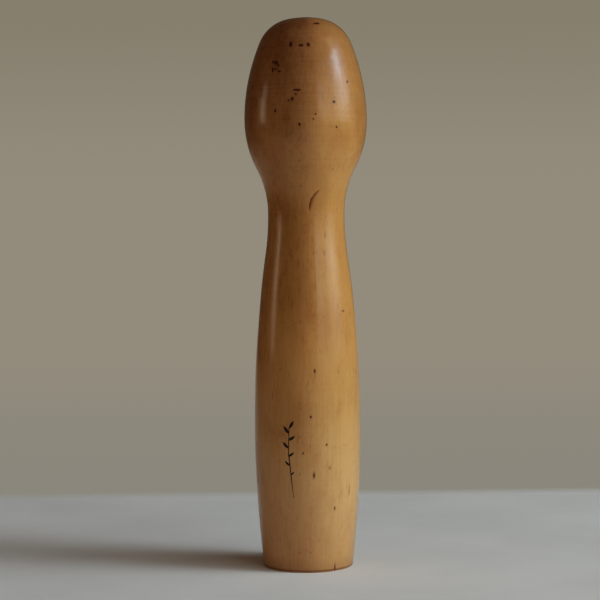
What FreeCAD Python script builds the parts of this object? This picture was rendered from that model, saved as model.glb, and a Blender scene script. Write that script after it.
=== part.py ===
"""A turned wooden kokeshi doll, 242 mm tall, in two pieces.

The head is turned with a round tenon under its neck, which is pressed into a socket in the top of the body.
The two pieces meet face to face at the narrowest section of the neck.
The frame has +Z up along the turning axis, and its origin is the middle of the flat base.
"""

import FreeCAD, Part
import math
import os
import Sketcher

NODES_FOLDER = "parts"

# The driving dimensions in millimetres. The outline is a chain of arcs that meet without a corner.
# The radii of the cheek and of the throat aren't given: tangency fixes them.
DIMENSIONS = {
    "doll_height": 242.0,
    "head_diameter": 53.8,
    "head_widest_height": 197.0,
    "crown_radius": 42.0,
    "brow_radius": 16.9,
    "side_radius": 88.6,
    "neck_diameter": 33.7,
    "neck_height": 156.5,
    "nape_radius": 40.8,
    "body_diameter": 47.0,
    "body_widest_height": 62.8,
    "body_side_radius": 532.0,
    "foot_round": 0.8,
    "tenon_diameter": 15.0,
    "tenon_length": 18.0,
    "tenon_chamfer": 1.0,
    "socket_depth": 19.5,
    "socket_chamfer": 0.6,
}

ALIKE = 1e-4  # two lengths this close are the same, in millimetres
VOLUME_TOLERANCE = 1e-6  # as a share of the volume
OVERLAP_LIMIT = 1e-3  # cubic millimetres

SHEET = "Sizes"
ORIGIN = -1  # the sketch's own origin, as constraints name it
UP_AXIS = -2  # the sketch's vertical axis
START = 1
END = 2
CENTRE = 3


def point(radius, height):
    return FreeCAD.Vector(radius, height, 0.0)


def fill_sheet(doc):
    sheet = doc.addObject("Spreadsheet::Sheet", SHEET)
    for row, (name, value) in enumerate(DIMENSIONS.items(), start=1):
        sheet.set(f"A{row}", name)
        sheet.set(f"B{row}", str(value))
        sheet.setAlias(f"B{row}", name)
    doc.recompute()
    return sheet


def origin_plane(body, role):
    return next(plane for plane in body.Origin.OriginFeatures if plane.Role == role)


def new_body(doc, name):
    body = doc.addObject("PartDesign::Body", name)
    body.Label = name
    body.Placement = FreeCAD.Placement()
    return body


def new_sketch(body, name, role):
    sketch = body.newObject("Sketcher::SketchObject", name)
    sketch.AttachmentSupport = [(origin_plane(body, role), "")]
    sketch.MapMode = "FlatFace"
    return sketch


def arc_between(sketch, centre, first, last):
    """Adds the arc that runs anticlockwise about centre from first to last, and returns its number."""
    from_angle = math.atan2(first.y - centre.y, first.x - centre.x)
    to_angle = math.atan2(last.y - centre.y, last.x - centre.x)
    circle = Part.Circle(centre, FreeCAD.Vector(0, 0, 1), centre.distanceToPoint(first))
    return sketch.addGeometry(Part.ArcOfCircle(circle, from_angle, to_angle))


def add_dimensions(sketch, dimensions):
    """Adds each (name, kind, where, start value, expression) as a dimension that the sheet drives."""
    for name, kind, where, value, expression in dimensions:
        number = sketch.addConstraint(Sketcher.Constraint(kind, *where, value))
        sketch.renameConstraint(number, name)
        sketch.setExpression(f"Constraints.{name}", expression)


def touching_point(centre, other, radius):
    """The point where the circle about centre, of this radius, touches the circle about other."""
    return centre + (other - centre).normalize() * radius


def draw_head_outline(body, size):
    """Half of the head's outline: flattish crown, tight brow, long side, cheek and hollow nape."""
    neck = size["neck_diameter"] / 2
    widest = size["head_diameter"] / 2
    neck_height = size["neck_height"]
    level = size["head_widest_height"]
    nape_radius = size["nape_radius"]
    top = size["doll_height"]
    crown_centre = point(0, top - size["crown_radius"])
    side_centre = point(widest - size["side_radius"], level)
    nape_centre = point(neck + nape_radius, neck_height)

    # The cheek touches the vertical at the widest point and the nape's circle from outside.
    reach = widest - neck - nape_radius
    rise = level - neck_height
    cheek_radius = (reach**2 + rise**2 - nape_radius**2) / (2 * (nape_radius + reach))
    cheek_centre = point(widest - cheek_radius, level)
    cheek_to_nape = touching_point(cheek_centre, nape_centre, cheek_radius)

    # The brow touches the crown's circle and the side's circle, both from inside.
    crown_gap = size["crown_radius"] - size["brow_radius"]
    side_gap = size["side_radius"] - size["brow_radius"]
    apart = crown_centre - side_centre
    along = (side_gap**2 - crown_gap**2 + apart.Length**2) / (2 * apart.Length)
    across = math.sqrt(side_gap**2 - along**2)
    direction = apart.normalize()
    square = FreeCAD.Vector(-direction.y, direction.x, 0)
    brow_centre = side_centre + direction * along + square * across
    crown_to_brow = touching_point(crown_centre, brow_centre, size["crown_radius"])
    brow_to_side = touching_point(side_centre, brow_centre, size["side_radius"])

    sketch = new_sketch(body, "HeadOutline", "XZ_Plane")
    axis = sketch.addGeometry(Part.LineSegment(point(0, top), point(0, neck_height)))
    face = sketch.addGeometry(Part.LineSegment(point(0, neck_height), point(neck, neck_height)))
    nape = arc_between(sketch, nape_centre, cheek_to_nape, point(neck, neck_height))
    cheek = arc_between(sketch, cheek_centre, cheek_to_nape, point(widest, level))
    side = arc_between(sketch, side_centre, point(widest, level), brow_to_side)
    brow = arc_between(sketch, brow_centre, brow_to_side, crown_to_brow)
    crown = arc_between(sketch, crown_centre, crown_to_brow, point(0, top))
    sketch.addConstraint(
        [
            Sketcher.Constraint("Coincident", axis, END, face, START),
            Sketcher.Constraint("Coincident", face, END, nape, END),
            Sketcher.Constraint("Tangent", nape, START, cheek, START),
            Sketcher.Constraint("Tangent", cheek, END, side, START),
            Sketcher.Constraint("Tangent", side, END, brow, START),
            Sketcher.Constraint("Tangent", brow, END, crown, START),
            Sketcher.Constraint("Coincident", crown, END, axis, START),
            Sketcher.Constraint("PointOnObject", axis, START, UP_AXIS),
            Sketcher.Constraint("PointOnObject", axis, END, UP_AXIS),
            Sketcher.Constraint("PointOnObject", crown, CENTRE, UP_AXIS),
            Sketcher.Constraint("Horizontal", face),
            Sketcher.Constraint("Horizontal", nape, CENTRE, nape, END),
            Sketcher.Constraint("Horizontal", cheek, CENTRE, cheek, END),
        ]
    )
    add_dimensions(
        sketch,
        [
            ("top", "DistanceY", (ORIGIN, START, axis, START), top, f"{SHEET}.doll_height"),
            ("neck_height", "DistanceY", (ORIGIN, START, axis, END), neck_height, f"{SHEET}.neck_height"),
            ("neck", "DistanceX", (ORIGIN, START, face, END), neck, f"{SHEET}.neck_diameter / 2"),
            ("widest", "DistanceX", (ORIGIN, START, cheek, END), widest, f"{SHEET}.head_diameter / 2"),
            ("level", "DistanceY", (ORIGIN, START, cheek, END), level, f"{SHEET}.head_widest_height"),
            ("nape", "Radius", (nape,), nape_radius, f"{SHEET}.nape_radius"),
            ("side", "Radius", (side,), size["side_radius"], f"{SHEET}.side_radius"),
            ("brow", "Radius", (brow,), size["brow_radius"], f"{SHEET}.brow_radius"),
            ("crown", "Radius", (crown,), size["crown_radius"], f"{SHEET}.crown_radius"),
        ],
    )
    return sketch


def draw_body_outline(body, size):
    """Half of the body's outline: the flat base, one long swelling side and the hollow throat."""
    neck = size["neck_diameter"] / 2
    widest = size["body_diameter"] / 2
    neck_height = size["neck_height"]
    level = size["body_widest_height"]
    side_radius = size["body_side_radius"]
    side_centre = point(widest - side_radius, level)
    base = side_centre.x + math.sqrt(side_radius**2 - level**2)

    # The throat touches the vertical at the neck and the side's circle from outside.
    reach = neck - side_centre.x
    rise = neck_height - level
    throat_radius = (reach**2 + rise**2 - side_radius**2) / (2 * (side_radius - reach))
    throat_centre = point(neck + throat_radius, neck_height)
    side_to_throat = touching_point(side_centre, throat_centre, side_radius)

    sketch = new_sketch(body, "BodyOutline", "XZ_Plane")
    axis = sketch.addGeometry(Part.LineSegment(point(0, neck_height), point(0, 0)))
    bottom = sketch.addGeometry(Part.LineSegment(point(0, 0), point(base, 0)))
    side = arc_between(sketch, side_centre, point(base, 0), side_to_throat)
    throat = arc_between(sketch, throat_centre, point(neck, neck_height), side_to_throat)
    face = sketch.addGeometry(Part.LineSegment(point(neck, neck_height), point(0, neck_height)))
    sketch.addConstraint(
        [
            Sketcher.Constraint("Coincident", axis, END, bottom, START),
            Sketcher.Constraint("Coincident", axis, END, ORIGIN, START),
            Sketcher.Constraint("Coincident", bottom, END, side, START),
            Sketcher.Constraint("Tangent", side, END, throat, END),
            Sketcher.Constraint("Coincident", throat, START, face, START),
            Sketcher.Constraint("Coincident", face, END, axis, START),
            Sketcher.Constraint("PointOnObject", axis, START, UP_AXIS),
            Sketcher.Constraint("Horizontal", bottom),
            Sketcher.Constraint("Horizontal", face),
            Sketcher.Constraint("Horizontal", throat, CENTRE, throat, START),
        ]
    )
    side_place = f"{SHEET}.body_diameter / 2 - {SHEET}.body_side_radius"
    add_dimensions(
        sketch,
        [
            ("neck_height", "DistanceY", (ORIGIN, START, axis, START), neck_height, f"{SHEET}.neck_height"),
            ("neck", "DistanceX", (ORIGIN, START, face, START), neck, f"{SHEET}.neck_diameter / 2"),
            ("side", "Radius", (side,), side_radius, f"{SHEET}.body_side_radius"),
            ("side_place", "DistanceX", (ORIGIN, START, side, CENTRE), side_centre.x, side_place),
            ("level", "DistanceY", (ORIGIN, START, side, CENTRE), level, f"{SHEET}.body_widest_height"),
        ],
    )
    return sketch


def turn(body, name, outline):
    """Revolves an outline about the turning axis, as the lathe does."""
    turning = body.newObject("PartDesign::Revolution", name)
    turning.Profile = outline
    turning.ReferenceAxis = (outline, ["V_Axis"])
    turning.Angle = 360.0
    return turning


def draw_neck_circle(body, name, size):
    """A circle of the tenon's diameter on the turning axis, at the height where the head meets the body."""
    sketch = new_sketch(body, name, "XY_Plane")
    sketch.setExpression("AttachmentOffset.Base.z", f"{SHEET}.neck_height")
    radius = size["tenon_diameter"] / 2
    circle = sketch.addGeometry(Part.Circle(point(0, 0), FreeCAD.Vector(0, 0, 1), radius))
    sketch.addConstraint(Sketcher.Constraint("Coincident", circle, CENTRE, ORIGIN, START))
    add_dimensions(sketch, [("bore", "Radius", (circle,), radius, f"{SHEET}.tenon_diameter / 2")])
    return sketch


def circle_edge(shape, radius, height):
    """The name of the shape's round edge of this radius at this height."""
    for number, edge in enumerate(shape.Edges, start=1):
        curve = edge.Curve
        if not isinstance(curve, Part.Circle):
            continue
        right_radius = math.isclose(curve.Radius, radius, abs_tol=ALIKE)
        right_height = math.isclose(curve.Center.z, height, abs_tol=ALIKE)
        if right_radius and right_height:
            return f"Edge{number}"
    raise RuntimeError(f"no round edge of radius {radius} at height {height}")


def break_edge(body, kind, name, base, edge, size_name, expression):
    """Chamfers or rounds one edge of the feature base, by a size from the sheet."""
    feature = body.newObject(kind, name)
    feature.Base = (base, [edge])
    feature.setExpression(size_name, expression)
    return feature


def make_head(doc, size):
    """The head with its neck, and the tenon that stands out under it."""
    body = new_body(doc, "head")
    turning = turn(body, "HeadTurning", draw_head_outline(body, size))
    doc.recompute()
    turned_volume = turning.Shape.Volume

    tenon = body.newObject("PartDesign::Pad", "Tenon")
    tenon.Profile = draw_neck_circle(body, "TenonCircle", size)
    tenon.Reversed = True
    tenon.setExpression("Length", f"{SHEET}.tenon_length")
    doc.recompute()
    tenon_radius = size["tenon_diameter"] / 2
    expected = turned_volume + math.pi * tenon_radius**2 * size["tenon_length"]
    check_volume("the tenon", tenon.Shape, expected)

    edge = circle_edge(tenon.Shape, tenon_radius, size["neck_height"] - size["tenon_length"])
    break_edge(body, "PartDesign::Chamfer", "TenonEnd", tenon, edge, "Size", f"{SHEET}.tenon_chamfer")
    doc.recompute()
    return body


def make_body(doc, size):
    """The body with its flat base, and the blind socket that takes the tenon."""
    body = new_body(doc, "body")
    outline = draw_body_outline(body, size)
    turning = turn(body, "BodyTurning", outline)
    doc.recompute()

    base_radius = max(vertex.Point.x for vertex in outline.Shape.Vertexes if vertex.Point.z < ALIKE)
    edge = circle_edge(turning.Shape, base_radius, 0.0)
    foot = break_edge(body, "PartDesign::Fillet", "FootRound", turning, edge, "Radius", f"{SHEET}.foot_round")
    doc.recompute()
    rounded_volume = foot.Shape.Volume

    socket = body.newObject("PartDesign::Pocket", "Socket")
    socket.Profile = draw_neck_circle(body, "SocketCircle", size)
    socket.setExpression("Length", f"{SHEET}.socket_depth")
    doc.recompute()
    socket_radius = size["tenon_diameter"] / 2
    expected = rounded_volume - math.pi * socket_radius**2 * size["socket_depth"]
    check_volume("the socket", socket.Shape, expected)

    edge = circle_edge(socket.Shape, socket_radius, size["neck_height"])
    break_edge(body, "PartDesign::Chamfer", "SocketMouth", socket, edge, "Size", f"{SHEET}.socket_chamfer")
    doc.recompute()
    return body


def check_volume(what, shape, expected):
    """Stops when a feature added or cut nothing, or the wrong amount."""
    if not math.isclose(shape.Volume, expected, rel_tol=VOLUME_TOLERANCE):
        raise RuntimeError(f"{what} leaves {shape.Volume:.1f} mm3, and {expected:.1f} mm3 was expected")


def check_document(doc):
    for item in doc.Objects:
        if "Invalid" in item.State or "Error" in item.State:
            raise RuntimeError(f"{item.Name} failed: {item.State}")
        if item.TypeId == "Sketcher::SketchObject" and not item.FullyConstrained:
            raise RuntimeError(f"{item.Name} isn't fully constrained")


def check_pieces(pieces):
    for piece in pieces:
        if piece.Shape.isNull() or not piece.Shape.isValid() or len(piece.Shape.Solids) != 1:
            raise RuntimeError(f"{piece.Label} isn't one valid solid")
    head, body = pieces
    overlap = head.Shape.common(body.Shape).Volume
    if overlap > OVERLAP_LIMIT:
        raise RuntimeError(f"the head and the body overlap by {overlap:.4f} mm3")


def main():
    doc = FreeCAD.newDocument("KokeshiDoll")
    fill_sheet(doc)
    pieces = [make_head(doc, DIMENSIONS), make_body(doc, DIMENSIONS)]
    doc.recompute()
    check_document(doc)
    check_pieces(pieces)
    os.makedirs(NODES_FOLDER, exist_ok=True)
    for piece in pieces:
        piece.Shape.exportStep(os.path.join(NODES_FOLDER, f"{piece.Label}.step"))
        box = piece.Shape.optimalBoundingBox()
        print(f"{piece.Label}: {piece.Shape.Volume:.1f} mm3, {box.ZMin:.2f} to {box.ZMax:.2f} mm high")


main()
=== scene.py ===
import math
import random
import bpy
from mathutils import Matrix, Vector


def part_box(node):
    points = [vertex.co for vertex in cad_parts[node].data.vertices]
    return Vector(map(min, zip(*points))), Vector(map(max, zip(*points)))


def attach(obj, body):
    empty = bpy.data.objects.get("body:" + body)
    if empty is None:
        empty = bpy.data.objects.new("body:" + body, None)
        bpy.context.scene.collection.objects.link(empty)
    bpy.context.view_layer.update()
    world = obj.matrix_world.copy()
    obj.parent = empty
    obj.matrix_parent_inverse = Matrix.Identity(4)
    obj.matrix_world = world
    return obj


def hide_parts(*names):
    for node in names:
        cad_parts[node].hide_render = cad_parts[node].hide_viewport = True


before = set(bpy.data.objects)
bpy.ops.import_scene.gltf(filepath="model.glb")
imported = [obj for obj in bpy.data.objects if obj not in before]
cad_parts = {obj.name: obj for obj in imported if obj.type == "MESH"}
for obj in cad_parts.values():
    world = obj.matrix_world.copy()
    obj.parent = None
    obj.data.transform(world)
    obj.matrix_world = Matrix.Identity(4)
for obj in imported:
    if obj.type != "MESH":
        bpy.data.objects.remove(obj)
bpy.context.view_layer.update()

# A turned wooden kokeshi doll: its looks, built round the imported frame.
# Lengths are in metres, +Z is up, and the side with the brush mark faces -Y.
# A turn is an angle about the doll's axis, counted from -Y towards +X.

from types import SimpleNamespace

import bpy
import numpy as np
from mathutils import Matrix, Vector

MM = 0.001


def measure(value):
    """A size from the frame, to the nearest tenth of a millimetre, which drops the mesh's own rounding."""
    return round(value, 4)


HEAD_LOWEST, HEAD_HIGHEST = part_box("head")
_, BODY_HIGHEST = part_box("body")

# The outline. Its driving sizes come from the frame, and its arcs repeat the CAD model's.
DOLL_HEIGHT = measure(HEAD_HIGHEST.z)
HEAD_RADIUS = measure(HEAD_HIGHEST.x)
HEAD_WIDEST = 197.0 * MM
CROWN_ARC = 42.0 * MM
BROW_ARC = 16.9 * MM
SIDE_ARC = 88.6 * MM
NECK_RADIUS = 16.85 * MM
NECK_HEIGHT = measure(BODY_HIGHEST.z)
NAPE_ARC = 40.8 * MM
BODY_RADIUS = measure(BODY_HIGHEST.x)
BODY_WIDEST = 62.8 * MM
BODY_ARC = 532.0 * MM
FOOT_ROUND = 0.8 * MM
TENON_RADIUS = 7.5 * MM
TENON_END = measure(HEAD_LOWEST.z)
TENON_CHAMFER = 1.0 * MM
SOCKET_DEPTH = 19.5 * MM
SOCKET_CHAMFER = 0.6 * MM

SEAM_BREAK = 0.015 * MM  # the edges that meet at the neck are only just broken
DISH_RADIUS = 15.5 * MM  # the base is turned slightly hollow inside this
DISH_DEPTH = 0.4 * MM
NUB_RADIUS = 1.6 * MM  # what parting-off leaves in the middle of the base
NUB_HEIGHT = 0.3 * MM

# How close the meshes' points lie. A column's width is in radians about the axis.
OUTLINE_SPACING = 0.1 * MM
ROW_SPACING = 0.62 * MM
SCAR_ROW_SPACING = 0.2 * MM
FOOT_SPACING = 0.2 * MM
FACE_SPACING = 1.2 * MM
WALL_SPACING = 1.5 * MM
FLOOR_SPACING = 1.6 * MM
BASE_ROWS = 60
COLUMNS = 250
SCAR_COLUMN = 0.011
NICK_COLUMN = 0.012
FINE_MARGIN = 0.03
FINE_FADE = math.radians(2.0)
FINE_ROWS_FADE = 2.5  # in rows

# The scar in the neck: a crack that rises from the seam and leans over to the right.
SCAR_FOOT_TURN = math.radians(4.4)
SCAR_LEAN = math.radians(15.6)
SCAR_FOOT = 156.9 * MM
SCAR_HEIGHT = 9.9 * MM
SCAR_BEND = 3.1
SCAR_DEPTH = 0.14 * MM
SCAR_HALF_WIDTH = 0.22 * MM
SCAR_HOLLOW = 0.10 * MM
SCAR_HOLLOW_WIDTH = 2.6 * MM

# The nick in the rim of the base.
NICK_TURN = math.radians(35)
NICK_HEIGHT = 2.6 * MM
NICK_DEPTH = 0.25 * MM
NICK_HALF_WIDTH = 0.35 * MM


# ---------------------------------------------------------------- outline

def towards(centre, other, distance):
    """The point at that distance from centre, on the line through other."""
    direction = other - centre
    return centre + direction / np.linalg.norm(direction) * distance


def arc(centre, first, last):
    """Points on the shorter arc about centre from first to last, both ends included."""
    radius = np.linalg.norm(first - centre)
    start = math.atan2(*(first - centre)[::-1])
    sweep = math.atan2(*(last - centre)[::-1]) - start
    sweep = (sweep + math.pi) % (2 * math.pi) - math.pi
    count = max(2, round(abs(sweep) * radius / OUTLINE_SPACING))
    angles = start + sweep * np.linspace(0, 1, count + 1)
    return centre + radius * np.column_stack((np.cos(angles), np.sin(angles)))


def line(first, last, spacing):
    """Points on the straight line from first to last, both ends included."""
    count = max(1, round(np.linalg.norm(last - first) / spacing))
    return first + (last - first) * np.linspace(0, 1, count + 1)[:, None]


def join(*stretches):
    """The stretches end to end, with each point where two meet kept once."""
    return np.vstack([stretches[0], *(stretch[1:] for stretch in stretches[1:])])


def spread_rows(points, spacing, fine_spacing=None, fine_low=0.0, fine_high=0.0):
    """Picks points along a finely sampled stretch, closer together between fine_low and fine_high."""
    steps = np.linalg.norm(np.diff(points, axis=0), axis=1)
    density = np.full(len(steps), 1 / spacing)
    if fine_spacing:
        middle = (points[:-1, 1] + points[1:, 1]) / 2
        outside = np.maximum(fine_low - middle, middle - fine_high).clip(0) / spacing
        density += (1 / fine_spacing - 1 / spacing) * np.exp(-((outside / FINE_ROWS_FADE) ** 2))
    run = np.concatenate(([0], np.cumsum(steps * density)))
    wanted = np.linspace(0, run[-1], math.ceil(run[-1]) + 1)
    return np.column_stack([np.interp(wanted, run, points[:, axis]) for axis in (0, 1)])


def spread_columns(fine_spacing, place, half_width):
    """Turns round the axis, which lie closer together within half_width of place."""
    fine = np.linspace(-math.pi, math.pi, 7201)  # a twentieth of a degree apart
    middle = (fine[:-1] + fine[1:]) / 2
    outside = (np.abs(middle - place) - half_width).clip(0)
    density = COLUMNS / (2 * math.pi) + np.exp(-((outside / FINE_FADE) ** 2)) / fine_spacing
    run = np.concatenate(([0], np.cumsum(density * np.diff(fine))))
    wanted = np.linspace(0, run[-1], math.ceil(run[-1]) + 1)[:-1]
    return np.interp(wanted, run, fine)


def head_outside():
    """The head's outline from the crown down to the seam."""
    crown_centre = np.array([0, DOLL_HEIGHT - CROWN_ARC])
    side_centre = np.array([HEAD_RADIUS - SIDE_ARC, HEAD_WIDEST])
    nape_centre = np.array([NECK_RADIUS + NAPE_ARC, NECK_HEIGHT])
    widest = np.array([HEAD_RADIUS, HEAD_WIDEST])

    reach = HEAD_RADIUS - NECK_RADIUS - NAPE_ARC
    rise = HEAD_WIDEST - NECK_HEIGHT
    cheek_arc = (reach**2 + rise**2 - NAPE_ARC**2) / (2 * (NAPE_ARC + reach))
    cheek_centre = np.array([HEAD_RADIUS - cheek_arc, HEAD_WIDEST])
    cheek_to_nape = towards(cheek_centre, nape_centre, cheek_arc)

    crown_gap = CROWN_ARC - BROW_ARC
    side_gap = SIDE_ARC - BROW_ARC
    apart = crown_centre - side_centre
    distance = np.linalg.norm(apart)
    along = (side_gap**2 - crown_gap**2 + distance**2) / (2 * distance)
    across = math.sqrt(side_gap**2 - along**2)
    direction = apart / distance
    brow_centre = side_centre + direction * along + np.array([-direction[1], direction[0]]) * across
    crown_to_brow = towards(crown_centre, brow_centre, CROWN_ARC)
    brow_to_side = towards(side_centre, brow_centre, SIDE_ARC)
    return join(
        arc(crown_centre, np.array([0, DOLL_HEIGHT]), crown_to_brow),
        arc(brow_centre, crown_to_brow, brow_to_side),
        arc(side_centre, brow_to_side, widest),
        arc(cheek_centre, widest, cheek_to_nape),
        arc(nape_centre, cheek_to_nape, np.array([NECK_RADIUS, NECK_HEIGHT])),
    )


def body_outside():
    """The body's outline from the seam down to the foot's rounded edge."""
    side_centre = np.array([BODY_RADIUS - BODY_ARC, BODY_WIDEST])
    reach = NECK_RADIUS - side_centre[0]
    rise = NECK_HEIGHT - BODY_WIDEST
    throat_arc = (reach**2 + rise**2 - BODY_ARC**2) / (2 * (BODY_ARC - reach))
    throat_centre = np.array([NECK_RADIUS + throat_arc, NECK_HEIGHT])
    side_to_throat = towards(side_centre, throat_centre, BODY_ARC)

    # The foot's round touches the side from inside and the base from above.
    inner = BODY_ARC - FOOT_ROUND
    drop = BODY_WIDEST - FOOT_ROUND
    foot_centre = np.array([side_centre[0] + math.sqrt(inner**2 - drop**2), FOOT_ROUND])
    side_to_foot = towards(side_centre, foot_centre, BODY_ARC)
    foot_end = foot_centre - np.array([0, FOOT_ROUND])
    side = join(
        arc(throat_centre, np.array([NECK_RADIUS, NECK_HEIGHT]), side_to_throat),
        arc(side_centre, side_to_throat, side_to_foot),
    )
    return side, arc(foot_centre, side_to_foot, foot_end)


HEAD_OUTSIDE = head_outside()
BODY_SIDE, FOOT_EDGE = body_outside()
WHOLE_OUTSIDE = join(HEAD_OUTSIDE, BODY_SIDE, FOOT_EDGE)


def radius_at(height):
    """The outside's radius at a height."""
    return float(np.interp(-height, -WHOLE_OUTSIDE[:, 1], WHOLE_OUTSIDE[:, 0]))


def broken(outside, at_end):
    """The outline with its sharp edge at the seam, at its end or its start, broken by a tiny slope."""
    if at_end:
        keep = outside[outside[:, 1] > NECK_HEIGHT + SEAM_BREAK]
        return np.vstack((keep, [NECK_RADIUS, NECK_HEIGHT + SEAM_BREAK]))
    keep = outside[outside[:, 1] < NECK_HEIGHT - SEAM_BREAK]
    return np.vstack(([NECK_RADIUS, NECK_HEIGHT - SEAM_BREAK], keep))


# ---------------------------------------------------------------- surface detail

def unevenness(turn, height):
    """How far hand turning and a little shrinkage leave the outside from a true round, in metres."""
    oval = 0.10 * MM * np.cos(2 * turn - 1.1) * (0.6 + 0.4 * np.sin(height / (41 * MM)))
    flats = 0.03 * MM * np.sin(3 * turn + height / (17 * MM)) * np.sin(height / (29 * MM) + 0.7)
    waves = 0.03 * MM * np.sin(height / (6.1 * MM) + 0.8 * np.sin(turn + 0.5))
    rings = 0.005 * MM * np.sin(2 * math.pi * height / (2.6 * MM) + 0.3 * np.sin(turn))
    return oval + flats + waves + rings


def scar_offset(turn, height):
    """The scar's crack and the shallow hollow to its right."""
    share = ((height - SCAR_FOOT) / SCAR_HEIGHT).clip(0, 1)
    above_foot = (height - SCAR_FOOT) / (0.5 * MM) + 0.5
    below_top = (SCAR_FOOT + SCAR_HEIGHT - height) / (1.5 * MM)
    inside = np.minimum(above_foot, below_top).clip(0, 1)
    line_turn = SCAR_FOOT_TURN + SCAR_LEAN * share**SCAR_BEND
    lean_slope = SCAR_LEAN * SCAR_BEND * share ** (SCAR_BEND - 1) * NECK_RADIUS / SCAR_HEIGHT
    across = (turn - line_turn) * NECK_RADIUS / np.sqrt(1 + lean_slope**2)
    crack = np.exp(-((across / SCAR_HALF_WIDTH) ** 2)) * SCAR_DEPTH
    hollow = np.exp(-across / SCAR_HOLLOW_WIDTH) * (1 - np.exp(-across / (0.2 * MM)))
    hollow = np.where(across > 0, hollow, 0) * SCAR_HOLLOW
    return -(crack + hollow) * inside


def nick_offset(turn, height):
    """The nick, deepest at the base."""
    across = (turn - NICK_TURN) * BODY_RADIUS / NICK_HALF_WIDTH
    upward = (1 - height / NICK_HEIGHT).clip(0, 1)
    return -NICK_DEPTH * np.exp(-(across**2)) * np.sqrt(upward)


def head_offset(turn, height):
    return unevenness(turn, height) + scar_offset(turn, height)


def body_offset(turn, height):
    """The foot's rim is left true, so that the base stays flat."""
    standing = ((height - FOOT_ROUND) / (6 * MM)).clip(0, 1)
    return unevenness(turn, height) * standing + nick_offset(turn, height)


# ---------------------------------------------------------------- meshes

def lathe(name, outline, weights, turns, offset):
    """A closed solid of revolution. The outline runs from axis to axis.

    Each point moves outwards by its weight times what offset gives for its turn and height."""
    rings = outline[1:-1]
    slope = np.gradient(outline, axis=0)[1:-1]
    normal = np.column_stack((-slope[:, 1], slope[:, 0]))
    normal /= np.linalg.norm(normal, axis=1)[:, None]
    turn, height = np.meshgrid(turns, rings[:, 1])
    moved = offset(turn, height) * weights[1:-1, None]
    radius = rings[:, :1] + moved * normal[:, :1]
    height = rings[:, 1:] + moved * normal[:, 1:]
    points = np.stack((radius * np.sin(turn), -radius * np.cos(turn), height), axis=-1)

    count, columns = len(rings), len(turns)
    vertices = np.vstack(([0, 0, outline[0, 1]], points.reshape(-1, 3), [0, 0, outline[-1, 1]]))
    start = 1 + np.arange(count)[:, None] * columns + np.arange(columns)
    after = np.roll(start, -1, axis=1)
    quads = np.stack((start[:-1], start[1:], after[1:], after[:-1]), axis=-1).reshape(-1, 4)
    last = len(vertices) - 1
    top = [(0, a, b) for a, b in zip(start[0], after[0])]
    bottom = [(a, last, b) for a, b in zip(start[-1], after[-1])]
    mesh = bpy.data.meshes.new(name)
    mesh.from_pydata(vertices.tolist(), [], [*top, *quads.tolist(), *bottom])
    mesh.validate()
    mesh.polygons.foreach_set("use_smooth", [True] * len(mesh.polygons))
    mesh.set_sharp_from_angle(angle=math.radians(35))
    piece = bpy.data.objects.new(name, mesh)
    bpy.context.collection.objects.link(piece)
    return piece


def marked(points, is_outside):
    """A weight for each point: 1 on the outside, which offsets move, and 0 elsewhere."""
    return np.full(len(points), float(is_outside))


def make_head():
    """The head, its half of the neck and its tenon."""
    skin = broken(HEAD_OUTSIDE, at_end=True)
    skin = spread_rows(skin, ROW_SPACING, SCAR_ROW_SPACING, SCAR_FOOT, SCAR_FOOT + SCAR_HEIGHT)
    shoulder = np.array([TENON_RADIUS, NECK_HEIGHT])
    face = line(np.array([NECK_RADIUS - SEAM_BREAK, NECK_HEIGHT]), shoulder, FACE_SPACING)
    wall = line(shoulder, np.array([TENON_RADIUS, TENON_END + TENON_CHAMFER]), WALL_SPACING)
    chamfer_end = np.array([TENON_RADIUS - TENON_CHAMFER, TENON_END])
    end = line(chamfer_end, np.array([0, TENON_END]), FLOOR_SPACING)
    inside = join(face, wall, np.vstack((wall[-1], chamfer_end)), end)
    outline = np.vstack((skin, inside))
    weights = np.concatenate((marked(skin, True), marked(inside, False)))
    columns = spread_columns(SCAR_COLUMN, SCAR_FOOT_TURN + SCAR_LEAN / 2, SCAR_LEAN / 2 + FINE_MARGIN)
    return lathe("turned_head", outline, weights, columns, head_offset)


def base_height(radius):
    """The underside: flat where it stands, slightly hollow inside, with the nub that parting-off leaves."""
    dish = DISH_DEPTH * np.cos(np.minimum(radius / DISH_RADIUS, 1) * math.pi / 2) ** 2
    nub = NUB_HEIGHT * np.exp(-((radius / NUB_RADIUS) ** 4))
    rings = 0.015 * MM * np.cos(2 * math.pi * radius / (1.1 * MM)) * (radius < DISH_RADIUS)
    return (dish - nub + rings * (radius > NUB_RADIUS)).clip(0)


def make_body():
    """The body, its half of the neck, its socket and its flat base."""
    floor_height = NECK_HEIGHT - SOCKET_DEPTH
    corner = np.array([TENON_RADIUS, floor_height])
    floor = line(np.array([0, floor_height]), corner, FLOOR_SPACING)
    wall = line(corner, np.array([TENON_RADIUS, NECK_HEIGHT - SOCKET_CHAMFER]), WALL_SPACING)
    mouth = np.array([TENON_RADIUS + SOCKET_CHAMFER, NECK_HEIGHT])
    face = line(mouth, np.array([NECK_RADIUS - SEAM_BREAK, NECK_HEIGHT]), FACE_SPACING)
    inside = join(floor, wall, np.vstack((wall[-1], mouth)), face)
    skin = spread_rows(broken(BODY_SIDE, at_end=False), ROW_SPACING)
    foot = spread_rows(FOOT_EDGE, FOOT_SPACING)[1:]
    base_radii = np.linspace(foot[-1, 0], 0, BASE_ROWS)[1:]
    base = np.column_stack((base_radii, base_height(base_radii)))
    outline = np.vstack((inside, skin, foot, base))
    weights = [marked(inside, False), marked(skin, True), marked(foot, True), marked(base, False)]
    weights = np.concatenate(weights)
    columns = spread_columns(NICK_COLUMN, NICK_TURN, FINE_MARGIN)
    return lathe("turned_body", outline, weights, columns, body_offset)


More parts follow.
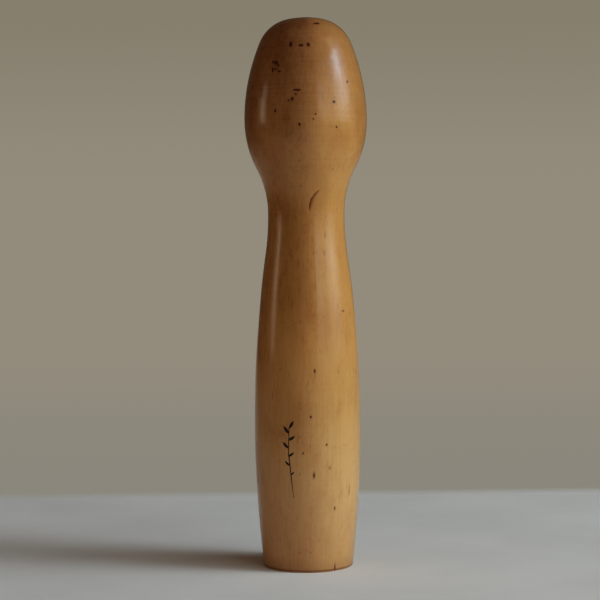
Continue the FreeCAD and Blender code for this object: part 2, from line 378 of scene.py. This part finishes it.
# ---------------------------------------------------------------- node helpers

class Graph:
    """Short calls that add shader nodes. An input is a number, a tuple or another node's socket."""

    def __init__(self, tree):
        self.tree = tree

    def add(self, kind, inputs=(), output=0, **settings):
        node = self.tree.nodes.new(kind)
        for name, value in settings.items():
            setattr(node, name, value)
        pairs = inputs.items() if isinstance(inputs, dict) else enumerate(inputs)
        for key, value in pairs:
            if isinstance(value, bpy.types.NodeSocket):
                self.tree.links.new(value, node.inputs[key])
            else:
                node.inputs[key].default_value = value
        return node.outputs[output] if node.outputs else None

    def math(self, operation, *inputs, clamp=False):
        return self.add("ShaderNodeMath", inputs, operation=operation, use_clamp=clamp)

    def vector(self, operation, *inputs):
        output = "Value" if operation == "LENGTH" else "Vector"
        return self.add("ShaderNodeVectorMath", inputs, output, operation=operation)

    def scaled(self, vector, factor):
        inputs = {"Vector": vector, "Scale": factor}
        return self.add("ShaderNodeVectorMath", inputs, "Vector", operation="SCALE")

    def split(self, vector):
        """The vector's three parts."""
        node = self.tree.nodes.new("ShaderNodeSeparateXYZ")
        self.tree.links.new(vector, node.inputs[0])
        return node.outputs

    def grey(self, value):
        """A colour or vector whose three parts are all this value."""
        return self.add("ShaderNodeCombineXYZ", (value, value, value))

    def noise(self, vector, stretch, detail, roughness=0.5):
        """Noise whose features are small along an axis where stretch is large."""
        place = self.vector("MULTIPLY", vector, stretch)
        inputs = {"Vector": place, "Scale": 1.0, "Detail": detail, "Roughness": roughness}
        return self.add("ShaderNodeTexNoise", inputs, "Fac")

    def between(self, value, low, high, to_low=0.0, to_high=1.0):
        """value carried smoothly from low..high to to_low..to_high, and held beyond."""
        inputs = {"Value": value, "From Min": low, "From Max": high, "To Min": to_low, "To Max": to_high}
        return self.add("ShaderNodeMapRange", inputs, "Result", interpolation_type="SMOOTHSTEP")

    def mix(self, factor, first, second, blend="MIX"):
        node = self.tree.nodes.new("ShaderNodeMix")
        node.data_type = "RGBA"
        node.blend_type = blend
        for name, value in (("Factor_Float", factor), ("A_Color", first), ("B_Color", second)):
            socket = next(s for s in node.inputs if s.identifier == name)
            if isinstance(value, bpy.types.NodeSocket):
                self.tree.links.new(value, socket)
            else:
                socket.default_value = value
        return next(s for s in node.outputs if s.identifier == "Result_Color")

    def total(self, *values):
        result = values[0]
        for value in values[1:]:
            result = self.math("ADD", result, value)
        return result

    def product(self, *values):
        result = values[0]
        for value in values[1:]:
            result = self.math("MULTIPLY", result, value)
        return result


def new_material(name):
    material = bpy.data.materials.new(name)
    material.use_nodes = True
    material.node_tree.nodes.clear()
    return material, Graph(material.node_tree)


# ---------------------------------------------------------------- marks in the wood

# Flecks: turn in degrees, then height, width and length in millimetres. The faint ones lie under the wax.
HEAD_DARK_FLECKS = [
    (19, 238.2, 2.6, 0.8),
    (-17, 228.8, 1.5, 2.2),
    (-5, 228.3, 2.0, 1.0),
    (3.5, 228.6, 1.3, 1.5),
    (-36, 221.5, 1.2, 1.2),
    (-32, 221, 1.6, 1.8),
    (-29, 219.8, 0.9, 1.4),
    (-35, 218, 1.0, 1.8),
    (-31, 218.2, 1.5, 0.7),
    (-27, 217.2, 1.6, 0.8),
    (-8, 209, 3.0, 0.9),
    (-9, 207.3, 1.0, 0.7),
    (-12.5, 205.2, 1.2, 1.4),
    (-16, 204.8, 0.6, 0.8),
    (-29, 200.4, 1.0, 1.5),
    (-5.5, 194.4, 1.1, 1.2),
    (9, 198.7, 0.7, 0.9),
    (7, 196.6, 0.6, 0.8),
    (45, 212.8, 0.9, 0.9),
    (27, 203.9, 1.2, 1.0),
    (29.5, 193.3, 0.7, 0.6),
    (-60, 202.5, 0.6, 1.8),
]
HEAD_FAINT_FLECKS = [
    (-33, 214, 0.6, 1.6),
    (-30, 212.6, 0.5, 1.4),
    (-2, 210.6, 0.9, 1.2),
    (-30, 202.9, 2.4, 0.7),
    (-22, 201.8, 1.0, 1.8),
    (-47, 194.5, 0.8, 2.6),
    (-6, 192.2, 0.6, 1.8),
    (9, 200.4, 0.6, 1.0),
    (25, 193.2, 0.9, 0.5),
    (-7, 179, 1.2, 0.9),
    (33, 175.4, 1.0, 0.8),
    (-7, 168.2, 1.1, 1.1),
    (-16, 183, 0.7, 1.6),
]
BODY_DARK_FLECKS = [
    (8, 88.5, 0.9, 1.8),
    (3.5, 68.8, 0.8, 1.3),
    (20.5, 56.4, 0.7, 0.9),
    (6.5, 43.3, 0.9, 2.3),
    (-5, 52.9, 0.6, 0.9),
    (31, 28.2, 0.7, 1.4),
    (48, 113.9, 1.3, 0.7),
    (35, 1.6, 0.7, 3.2),
]
BODY_FAINT_FLECKS = [
    (28, 147, 0.9, 3.2),
    (25, 139.2, 0.9, 2.6),
    (10, 139.2, 0.6, 1.6),
    (10.5, 124.9, 0.6, 4.2),
    (-18, 117.4, 1.0, 3.2),
    (40, 116.2, 0.6, 3.0),
    (20, 111.7, 0.6, 1.4),
    (-8, 109.7, 0.8, 1.6),
    (35.5, 88, 0.9, 2.2),
    (61, 87.8, 0.8, 1.6),
    (-41, 77.4, 0.6, 3.4),
    (-8, 74.4, 0.6, 1.2),
    (-9, 60, 0.7, 0.7),
    (42, 55.7, 0.6, 0.8),
    (24, 46.3, 1.4, 1.8),
    (-8.5, 44.2, 0.7, 0.8),
    (52, 35.5, 1.3, 5.2),
    (8, 87, 0.5, 2.4),
    (-10, 9.1, 1.1, 0.6),
    (3, 9.1, 1.2, 0.6),
]

# The brushed sprig, low on the left: strokes on the unrolled side of the body, in millimetres.
# Each is start, end, half width at the start, at the end, and how much fuller it is in the middle.
SPRIG_TURN = -20.5
SPRIG_HEIGHT = 50.0
SPRIG_STROKES = [
    ((1.9, -16.6), (0.9, -7.0), 0.12, 0.24, 0.0),
    ((0.9, -7.0), (-0.2, 3.0), 0.24, 0.26, 0.0),
    ((-0.2, 3.0), (0.2, 13.8), 0.26, 0.20, 0.0),
    ((0.2, 13.6), (2.3, 16.9), 0.14, 0.04, 0.58),
    ((0.1, 11.4), (-2.5, 14.6), 0.14, 0.04, 0.62),
    ((-0.1, 8.4), (2.9, 10.4), 0.14, 0.04, 0.55),
    ((-0.2, 5.0), (-2.9, 7.6), 0.14, 0.04, 0.58),
    ((-0.1, 1.4), (2.4, 3.3), 0.12, 0.04, 0.46),
    ((0.3, -2.6), (-1.9, -0.6), 0.12, 0.04, 0.42),
    ((0.8, -6.6), (2.4, -5.2), 0.10, 0.03, 0.30),
]


def scattered(seed, count, lowest, highest):
    """Flecks for the sides and back, where nothing is known of the real ones."""
    draw = random.Random(seed)
    flecks = []
    for _ in range(count):
        turn = draw.choice((-1, 1)) * draw.uniform(72, 172)
        height = draw.uniform(lowest, highest)
        flecks.append((turn, height, draw.uniform(0.5, 1.2), draw.uniform(0.8, 2.4)))
    return flecks


def nearest_fleck(graph, place, flecks):
    """The distance to the nearest fleck's middle, where 1 is that fleck's edge."""
    nearest = None
    for turn, height, width, length in flecks:
        millimetres_a_degree = radius_at(height * MM) / MM * math.pi / 180
        scale = (2 * millimetres_a_degree / width, 2 / length, 0.0)
        away = graph.vector("SUBTRACT", place, (turn, height, 0.0))
        distance = graph.vector("LENGTH", graph.vector("MULTIPLY", away, scale))
        nearest = distance if nearest is None else graph.math("MINIMUM", nearest, distance)
    return nearest


def stroke(graph, place, start, end, start_width, end_width, belly):
    """How far inside a brush stroke a point is, in millimetres: over 0 inside, under 0 outside."""
    run = (end[0] - start[0], end[1] - start[1], 0.0)
    length_squared = run[0] ** 2 + run[1] ** 2
    away = graph.vector("SUBTRACT", place, (*start, 0.0))
    dot = graph.add("ShaderNodeVectorMath", (away, run), "Value", operation="DOT_PRODUCT")
    along = graph.math("DIVIDE", dot, length_squared, clamp=True)
    distance = graph.vector("LENGTH", graph.vector("SUBTRACT", away, graph.scaled(run, along)))
    half_width = graph.between(along, 0.0, 1.0, start_width, end_width)
    if belly:
        rise = graph.product(along, graph.math("SUBTRACT", 1.0, along))
        half_width = graph.math("MULTIPLY_ADD", rise, 4.0 * belly, half_width)
    return graph.math("SUBTRACT", half_width, distance)


def sprig_mask(graph, turn, height, wander):
    """1 in the ink of the sprig and 0 outside, with edges as soft as ink soaking into wood."""
    millimetres_a_degree = BODY_RADIUS / MM * math.pi / 180
    across = graph.product(graph.math("SUBTRACT", turn, SPRIG_TURN), millimetres_a_degree)
    upward = graph.math("SUBTRACT", height, SPRIG_HEIGHT)
    place = graph.vector("ADD", graph.add("ShaderNodeCombineXYZ", (across, upward, 0.0)), wander)
    deepest = None
    for parts in SPRIG_STROKES:
        inside = stroke(graph, place, *parts)
        deepest = inside if deepest is None else graph.math("MAXIMUM", deepest, inside)
    return graph.between(deepest, -0.07, 0.07)


def scar_masks(graph, turn, height):
    """The scar's dark crack, and the crescent of stain that fades out to its right."""
    foot = SCAR_FOOT / MM
    top = (SCAR_FOOT + SCAR_HEIGHT) / MM
    share = graph.math("DIVIDE", graph.math("SUBTRACT", height, foot), SCAR_HEIGHT / MM, clamp=True)
    lean = graph.product(graph.math("POWER", share, SCAR_BEND), math.degrees(SCAR_LEAN))
    crack_turn = graph.math("ADD", lean, math.degrees(SCAR_FOOT_TURN))
    millimetres_a_degree = NECK_RADIUS / MM * math.pi / 180
    across = graph.product(graph.math("SUBTRACT", turn, crack_turn), millimetres_a_degree)
    ends = graph.product(
        graph.between(height, foot - 0.8, foot + 3.4),
        graph.between(height, top - 1.6, top + 0.4, 1.0, 0.0),
    )
    crack = graph.between(graph.math("ABSOLUTE", across), 0.10, 0.46, 1.0, 0.0)

    # The stain reaches furthest to the right half way up the crack.
    belly = graph.product(share, graph.math("SUBTRACT", 1.0, share))
    reach = graph.math("MULTIPLY_ADD", belly, 7.6, 0.3)
    stain = graph.product(
        graph.between(across, -0.2, 0.05),
        graph.between(graph.math("DIVIDE", across, reach), 0.1, 1.0, 1.0, 0.0),
    )
    return graph.product(crack, ends), graph.product(stain, ends)


# ---------------------------------------------------------------- materials

# The wood's colour up the doll, by height in millimetres: palest near the foot, darkest on the head.
TONES = [
    (0, (0.445, 0.232, 0.083)),
    (24, (0.57, 0.350, 0.148)),
    (60, (0.53, 0.302, 0.104)),
    (100, (0.50, 0.250, 0.071)),
    (148, (0.44, 0.204, 0.056)),
    (174, (0.50, 0.262, 0.080)),
    (202, (0.347, 0.160, 0.044)),
    (242, (0.27, 0.122, 0.040)),
]
TOP_OF_TONES = 250.0
STAIN = (0.62, 0.42, 0.30, 1.0)
STREAK_STAIN = (0.78, 0.62, 0.48, 1.0)
# Red tints of the painted shade on the left, on the body and on the head.
BODY_SHADE_TINT = (1.0, 0.90, 0.90, 1.0)
HEAD_SHADE_TINT = (1.02, 0.92, 1.05, 1.0)
FLECK_BROWN = (0.22, 0.070, 0.018, 1.0)
FLECK_BLACK = (0.045, 0.005, 0.002, 1.0)
SCAR_BROWN = (0.08, 0.017, 0.005, 1.0)
SCAR_RED = (0.17, 0.040, 0.009, 1.0)
RIM_BROWN = SCAR_BROWN
INK = (0.010, 0.008, 0.008, 1.0)
PITH = (3.5, 5.0, 0.0)  # where the tree's middle passed at the base, in millimetres from the axis
PITH_LEAN = (0.022, -0.030, 0.0)
RING_WIDTH = 2.3
SHEEN_ROUGHNESS = 0.125
SPECULAR_LEVEL = 0.17
WOOD_IOR = 1.5


def grain_patterns(graph, at, height):
    """The wood's patterns at a place in millimetres, each between 0 and 1.

    Rings, fibres, dashes and pores follow the grain. The others follow the doll's own axis."""
    lean = graph.scaled(PITH_LEAN, height)
    grain = graph.vector("SUBTRACT", graph.vector("SUBTRACT", at, PITH), lean)
    from_pith = graph.vector("LENGTH", graph.vector("MULTIPLY", grain, (1.0, 1.0, 0.0)))
    warp = graph.noise(grain, (0.05, 0.05, 0.004), detail=2.0)
    rings = graph.math("DIVIDE", graph.math("MULTIPLY_ADD", warp, 9.0, from_pith), RING_WIDTH)
    ring = graph.math("FRACT", rings)
    return SimpleNamespace(
        ring_line=graph.product(graph.between(ring, 0.3, 0.93), graph.between(ring, 0.93, 1.0, 1.0, 0.0)),
        fibres=graph.noise(grain, (0.9, 0.9, 0.04), detail=3.0, roughness=0.65),
        dashes=graph.noise(grain, (1.5, 1.5, 0.42), detail=2.0, roughness=0.6),
        pores=graph.noise(grain, (4.5, 4.5, 0.5), detail=1.0),
        turning_lines=graph.noise(at, (0.03, 0.03, 1.1), detail=4.0, roughness=0.75),
        blotches=graph.noise(at, (0.05, 0.05, 0.03), detail=3.0),
        spots=graph.noise(at, (0.45, 0.45, 0.22), detail=4.0, roughness=0.7),
    )


def tone_by_height(graph, height, blotches):
    """The colour up the doll, which the blotches shift up and down a little."""
    tones = graph.tree.nodes.new("ShaderNodeValToRGB")
    ramp = tones.color_ramp
    ramp.interpolation = "B_SPLINE"
    while len(ramp.elements) < len(TONES):
        ramp.elements.new(0.5)
    for element, (place, tone) in zip(ramp.elements, TONES):
        element.position = place / TOP_OF_TONES
        element.color = (*tone, 1.0)
    shift = graph.math("MULTIPLY_ADD", blotches, 0.12, -0.06)
    share = graph.math("ADD", shift, graph.math("DIVIDE", height, TOP_OF_TONES))
    graph.tree.links.new(share, tones.inputs[0])
    return tones.outputs["Color"]


def painted_light_and_shade(graph, turn, height, on_head):
    """Light and shade painted on the side that faces -Y, fading out round the back.

    Returns the painted light and shade as a factor on the colour, how strongly the painted shade is tinted
    red, and how heavy the stains and streaks are."""
    in_front = graph.between(graph.math("ABSOLUTE", turn), 95.0, 165.0, 1.0, 0.0)

    # Painted shade darkens the left: the upper body, less so the neck, and the head.
    upper_body = graph.between(height, 98.0, 122.0, 0.25, 1.0)
    neck = graph.between(height, 155.0, 170.0, 1.0, 0.45)
    head = graph.between(height, 178.0, 192.0)
    shaded_heights = graph.math("MAXIMUM", graph.product(upper_body, neck), head)
    left = graph.between(turn, -8.0, 20.0, 0.22, 0.0)
    short_of_edge = graph.between(turn, -50.0, -18.0, 0.4, 1.0)
    painted_shade = graph.product(left, short_of_edge, shaded_heights, -1.0)

    # Painted light makes the head's right paler, and painted shade dulls the far right on the head and low
    # on the body.
    painted_light = graph.product(graph.between(turn, -5.0, 22.0, 0.0, 0.16), on_head)
    low_or_head = graph.math("MAXIMUM", graph.between(height, 80.0, 110.0, 1.0, 0.0), on_head)
    painted_far_shade = graph.product(graph.between(turn, 45.0, 80.0), low_or_head, -0.14)
    light = graph.math("MULTIPLY_ADD", graph.total(painted_shade, painted_light, painted_far_shade), in_front, 1.0)

    # The painted shade on the left is tinted red, and the back is 0.6 of the way there.
    shade_reddening = graph.math("SUBTRACT", graph.between(turn, -5.0, 30.0, 1.0, 0.0), 0.6)
    shade_reddening = graph.math("MULTIPLY_ADD", shade_reddening, in_front, 0.6)
    heavier = graph.product(graph.between(turn, -8.0, 20.0, 0.8, 0.0), shaded_heights, in_front)
    return light, shade_reddening, graph.math("ADD", heavier, 1.0)


def wood(name, dark_flecks, faint_flecks, fleck_edge, with_scar=False, with_sprig=False):
    """Waxed hardwood, with light and shade painted on the side that faces -Y. The dark flecks' listed sizes
    are multiplied by fleck_edge.
    """
    material, graph = new_material(name)
    at = graph.scaled(graph.add("ShaderNodeTexCoord", output="Object"), 1 / MM)
    x, y, height = graph.split(at)
    turn = graph.math("DEGREES", graph.math("ARCTAN2", x, graph.product(y, -1.0)))
    normal = graph.split(graph.vector("ABSOLUTE", graph.add("ShaderNodeNewGeometry", output="Normal")))
    end_grain = graph.between(normal["Z"], 0.4, 1.0)
    on_head = graph.between(height, 160.0, 185.0)
    patterns = grain_patterns(graph, at, height)

    light, shade_reddening, busy = painted_light_and_shade(graph, turn, height, on_head)
    colour = tone_by_height(graph, height, patterns.blotches)
    # Painted light and shade on the side that faces -Y, then the red tint of its painted shade.
    colour = graph.mix(1.0, colour, graph.grey(light), blend="MULTIPLY")
    colour = graph.mix(shade_reddening, colour, graph.mix(on_head, BODY_SHADE_TINT, HEAD_SHADE_TINT), blend="MULTIPLY")

    # Stains and streaks, heavier on the left, where the shade is painted.
    stain = graph.total(
        graph.product(end_grain, 0.30),
        graph.between(patterns.blotches, 0.45, 0.80, 0.0, 0.40),
        graph.between(patterns.spots, 0.50, 0.78, 0.0, 0.34),
        graph.between(patterns.dashes, 0.60, 0.76, 0.0, 0.30),
    )
    stain = graph.math("MULTIPLY", stain, busy, clamp=True)
    colour = graph.mix(stain, colour, STAIN, blend="MULTIPLY")
    turning_lines = graph.between(patterns.turning_lines, 0.40, 0.75, 0.0, 0.30)
    streak = graph.total(
        graph.between(patterns.fibres, 0.35, 0.75, 0.0, 0.28),
        graph.product(patterns.ring_line, 0.06),
        graph.product(turning_lines, graph.math("MULTIPLY_ADD", on_head, 0.75, 0.25)),
        graph.between(patterns.pores, 0.45, 0.80, 0.0, 0.12),
    )
    streak = graph.math("MULTIPLY", streak, busy, clamp=True)
    colour = graph.mix(streak, colour, STREAK_STAIN, blend="MULTIPLY")

    # The flecks, with edges that wander. None of their dark runs onto the underside.
    wander = graph.add("ShaderNodeTexNoise", {"Vector": at, "Scale": 1.1, "Detail": 2.0}, "Color")
    wander = graph.vector("SUBTRACT", wander, (0.5, 0.5, 0.5))
    place = graph.add("ShaderNodeCombineXYZ", (turn, height, 0.0))
    place = graph.vector("ADD", place, graph.vector("MULTIPLY", wander, (1.9, 0.9, 0.0)))
    dark = nearest_fleck(graph, place, dark_flecks)
    faint = nearest_fleck(graph, place, faint_flecks)
    off_base = graph.between(height, 0.42, 0.7)
    faint_mask = graph.between(faint, 0.5, 1.5, 0.5, 0.0)
    halo = graph.product(graph.between(dark, 0.7, 2.2, 0.6, 0.0), off_base)
    core = graph.product(graph.between(dark, 0.6 * fleck_edge, fleck_edge, 1.0, 0.0), off_base)
    colour = graph.mix(graph.math("MAXIMUM", faint_mask, halo), colour, FLECK_BROWN)
    colour = graph.mix(core, colour, FLECK_BLACK)
    pits = graph.math("MAXIMUM", core, graph.product(faint_mask, 0.4))

    if with_scar:
        crack, scar_stain = scar_masks(graph, turn, height)
        patchy = graph.between(patterns.dashes, 0.35, 0.55, 0.45, 0.95)
        colour = graph.mix(graph.product(scar_stain, 0.88), colour, SCAR_RED)
        colour = graph.mix(graph.product(crack, patchy), colour, SCAR_BROWN)
        pits = graph.math("MAXIMUM", pits, graph.product(crack, 0.5))
    if with_sprig:
        ink = sprig_mask(graph, turn, height, graph.vector("MULTIPLY", wander, (0.25, 0.25, 0.0)))
        colour = graph.mix(ink, colour, INK)
        # A dark line along the foot's rounded edge, and painted shade over its lowest 8 mm.
        rim_line = graph.between(height, 0.6, 1.9, 0.9, 0.0)
        rim_shade = graph.between(height, 0.0, 8.0, 0.25, 0.0)
        rim = graph.product(graph.math("MAXIMUM", rim_line, rim_shade), off_base)
        colour = graph.mix(rim, colour, RIM_BROWN)

    roughness = graph.total(
        SHEEN_ROUGHNESS,
        graph.math("MULTIPLY_ADD", patterns.spots, 0.08, -0.04),
        graph.math("MULTIPLY_ADD", patterns.fibres, 0.06, -0.03),
        graph.product(end_grain, 0.05),
        graph.product(pits, 0.45),
    )
    relief = graph.total(
        graph.product(patterns.turning_lines, 0.010),
        graph.product(patterns.fibres, 0.012),
        graph.product(patterns.pores, 0.006),
        graph.product(pits, -0.06),
    )
    bump = graph.add("ShaderNodeBump", {"Strength": 1.0, "Distance": MM, "Height": relief}, "Normal")
    sockets = {
        "Base Color": colour,
        "Roughness": roughness,
        "Normal": bump,
        "IOR": WOOD_IOR,
        "Specular IOR Level": SPECULAR_LEVEL,
    }
    surface = graph.add("ShaderNodeBsdfPrincipled", sockets, "BSDF")
    graph.add("ShaderNodeOutputMaterial", {"Surface": surface})
    return material


# ---------------------------------------------------------------- stage, light and camera

WALL = (0.292, 0.262, 0.206, 1.0)
WALL_TOP = (0.235, 0.210, 0.154, 1.0)
WALL_FOOT = (0.256, 0.241, 0.200, 1.0)
FLOOR = (0.78, 0.75, 0.72, 1.0)
FLOOR_ASIDE = (0.22, 0.19, 0.16, 1.0)
FLOOR_RADIUS = 3.0
FLOOR_CORNERS = 96
FLOOR_EDGE = (0.187, 0.212)  # how far behind the doll the floor gives way to the backdrop
FLOOR_EDGE_SLANT = -0.03
WALL_RISE = (0.2, 1.1)  # where the backdrop's foot gives way to its own tone
FLOOR_SIDES = (0.19, 0.75)  # how far to the sides the floor turns dim
FLOOR_SIDES_SPREAD = -0.16  # and how much wider it stays behind the doll
WALL_TOP_SLOPE = 0.11  # how steeply the camera looks up where the wall has its top tone
ROOM = (0.02, 0.015, 0.011, 1.0)
ROOM_BEHIND = (0.07, 0.055, 0.038, 1.0)
CAMERA_DISTANCE = 0.820
CAMERA_HEIGHT = 0.1637
CAMERA_PITCH = math.radians(3.19)
CAMERA_PAN = math.radians(0.21)
CAMERA_ROLL = math.radians(-0.39)
CAMERA_LENS = 111.4  # the lens and the sensor's width are in millimetres
CAMERA_SENSOR = 36.0
LAMP_DISTANCE = 2.4
LAMP_LEVEL = 0.12

# The window, from its left end to its right: azimuths from -Y towards +X, in degrees, and the
# radiance low in it (elevations 8 to 12), in its middle (12 to 24) and in its upper panes (24 to 36).
WINDOW = [
    (24, 38, 4.0, 2.5, 0.5),
    (38, 52, 3.0, 2.0, 1.0),
    (52, 58, 4.0, 3.0, 2.0),
    (58, 64, 6.0, 5.0, 3.5),
    (64, 70, 6.5, 7.0, 9.5),
    (70, 80, 8.0, 9.0, 14.0),
    (80, 86, 6.0, 7.0, 8.5),
    (86, 94, 4.0, 4.5, 3.5),
    (94, 105, 1.0, 1.0, 1.0),
]
WINDOW_BANDS = (0, 4, 8, 12, 24, 36, 48)
SILL_SHARES = (0.4, 0.75)  # of the low radiance, from the sill up
TOP_SHARE = 0.22  # of the upper panes' radiance, in the topmost band
LOW_COLOUR = (0.95, 0.97, 0.78)
MIDDLE_COLOUR = (0.91, 1.03, 1.08)
UPPER_COLOUR = (0.85, 1.10, 1.34)
TOP_COLOUR = (1.0, 0.88, 0.60)
WINDOW_COLOURS = (LOW_COLOUR, LOW_COLOUR, LOW_COLOUR, MIDDLE_COLOUR, UPPER_COLOUR, TOP_COLOUR)

# The rest: azimuths, elevations and radiance. The far ones are what the left edge mirrors.
LAMPS = [
    ("far_reflection_top", (-91, -79), (14, 20), (1.8, 1.5, 1.1)),
    ("far_reflection", (-93, -82), (3, 14), (2.8, 2.2, 1.5)),
    ("far_reflection_foot", (-93, -82), (0, 3), (1.5, 1.2, 0.8)),
    ("far_glow", (-101, -76), (0, 13), (0.9, 0.6, 0.35)),
    ("room_front", (-10, 24), (0, 30), (0.55, 0.30, 0.17)),
    ("ceiling", (-60, 60), (58, 75), (0.34, 0.22, 0.14)),
]


def make_floor():
    """A pale floor that ends in the backdrop's colour a little way behind the doll."""
    mesh = bpy.data.meshes.new("floor")
    turns = [2 * math.pi * i / FLOOR_CORNERS for i in range(FLOOR_CORNERS)]
    corners = [(FLOOR_RADIUS * math.cos(turn), FLOOR_RADIUS * math.sin(turn), 0) for turn in turns]
    mesh.from_pydata(corners, [], [range(FLOOR_CORNERS)])
    floor = bpy.data.objects.new("floor", mesh)
    bpy.context.collection.objects.link(floor)

    material, graph = new_material("pale_floor")
    at = graph.add("ShaderNodeTexCoord", output="Object")
    x, y, _ = graph.split(at)
    mottle = graph.between(graph.noise(at, (14.0, 14.0, 14.0), detail=4.0), 0.3, 0.7, 0.96, 1.04)
    colour = graph.mix(1.0, FLOOR, graph.grey(mottle), blend="MULTIPLY")
    near = graph.add("ShaderNodeBsdfDiffuse", {"Color": colour}, "BSDF")

    # Behind its edge the floor gives off the backdrop's colour, so that the camera sees no horizon.
    away = graph.math("MULTIPLY_ADD", x, FLOOR_EDGE_SLANT, y)
    wall = graph.mix(graph.between(away, *WALL_RISE), WALL_FOOT, WALL)
    far = graph.add("ShaderNodeEmission", {"Color": wall, "Strength": 1.0}, "Emission")
    surface = graph.add("ShaderNodeMixShader", (graph.between(away, *FLOOR_EDGE), near, far), "Shader")

    # Far to the sides it is dim, so that it throws little light up onto the doll.
    aside = graph.math("MULTIPLY_ADD", y, FLOOR_SIDES_SPREAD, graph.math("ABSOLUTE", x))
    dim = graph.add("ShaderNodeBsdfDiffuse", {"Color": FLOOR_ASIDE}, "BSDF")
    surface = graph.add("ShaderNodeMixShader", (graph.between(aside, *FLOOR_SIDES), surface, dim), "Shader")
    graph.add("ShaderNodeOutputMaterial", {"Surface": surface})
    mesh.materials.append(material)


def make_lamp(name, azimuths, elevations, radiance):
    """A rectangle of light that fills a range of azimuth and elevation as seen from the doll's middle."""
    left, right = (math.radians(a) for a in azimuths)
    low, high = (LAMP_DISTANCE * math.tan(math.radians(e)) for e in elevations)
    strongest = max(radiance)
    data = bpy.data.lights.new(name, "AREA")
    data.shape = "RECTANGLE"
    data.size = 2 * LAMP_DISTANCE * math.tan((right - left) / 2)
    data.size_y = high - low
    data.energy = strongest * math.pi * data.size * data.size_y  # the power that gives this radiance
    data.color = [part / strongest for part in radiance]
    lamp = bpy.data.objects.new(name, data)
    turn = (left + right) / 2
    outward = Vector((math.sin(turn), -math.cos(turn), 0))
    lamp.location = outward * LAMP_DISTANCE + Vector((0, 0, LAMP_LEVEL + (low + high) / 2))
    lamp.rotation_euler = outward.to_track_quat("Z", "Y").to_euler()
    lamp.visible_camera = False
    bpy.context.collection.objects.link(lamp)


def make_window():
    """Bands of light from the sill up, in columns from the window's left end to its right."""
    for left, right, sill, middle, upper in WINDOW:
        strengths = [share * sill for share in SILL_SHARES] + [sill, middle, upper, TOP_SHARE * upper]
        for low, high, strength, colour in zip(WINDOW_BANDS, WINDOW_BANDS[1:], strengths, WINDOW_COLOURS):
            radiance = [strength * part for part in colour]
            make_lamp(f"window_{left}_{low}", (left, right), (low, high), radiance)


def make_world():
    """A dark room with a paler wall behind the doll. The camera sees the wall's tone wherever it looks."""
    world = bpy.data.worlds.new("room")
    world.use_nodes = True
    world.node_tree.nodes.clear()
    graph = Graph(world.node_tree)
    direction = graph.split(graph.add("ShaderNodeTexCoord", output="Generated"))
    room = graph.mix(graph.between(direction["Y"], 0.5, 1.0), ROOM, ROOM_BEHIND)
    wall = graph.mix(graph.between(direction["Z"], 0.0, WALL_TOP_SLOPE), WALL, WALL_TOP)
    seen = graph.add("ShaderNodeLightPath", output="Is Camera Ray")
    backdrop = graph.add("ShaderNodeBackground", {"Color": graph.mix(seen, room, wall)}, "Background")
    graph.add("ShaderNodeOutputWorld", {"Surface": backdrop})
    bpy.context.scene.world = world


def make_camera():
    """A camera before the doll, which looks slightly down on it."""
    data = bpy.data.cameras.new("camera")
    data.lens = CAMERA_LENS
    data.sensor_width = CAMERA_SENSOR
    camera = bpy.data.objects.new("camera", data)
    place = Matrix.Translation((0, -CAMERA_DISTANCE, CAMERA_HEIGHT))
    pan = Matrix.Rotation(CAMERA_PAN, 4, "Z")
    pitch = Matrix.Rotation(math.pi / 2 - CAMERA_PITCH, 4, "X")
    roll = Matrix.Rotation(CAMERA_ROLL, 4, "Z")
    camera.matrix_world = place @ pan @ pitch @ roll
    bpy.context.collection.objects.link(camera)
    bpy.context.scene.camera = camera


# ---------------------------------------------------------------- the scene

make_camera()
make_floor()
make_world()
make_window()
for lamp in LAMPS:
    make_lamp(*lamp)
bpy.context.scene.view_settings.view_transform = "Standard"

head = make_head()
head_dark = HEAD_DARK_FLECKS + scattered(3, 14, 170, 236)
head_faint = HEAD_FAINT_FLECKS + scattered(4, 12, 162, 236)
head.data.materials.append(wood("head_wood", head_dark, head_faint, 1.4, with_scar=True))
body = make_body()
body_dark = BODY_DARK_FLECKS + scattered(5, 9, 8, 150)
body_faint = BODY_FAINT_FLECKS + scattered(6, 18, 6, 152)
body.data.materials.append(wood("body_wood", body_dark, body_faint, 1.05, with_sprig=True))
for piece, node in ((head, "head"), (body, "body")):
    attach(piece, "root")
    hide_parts(node)
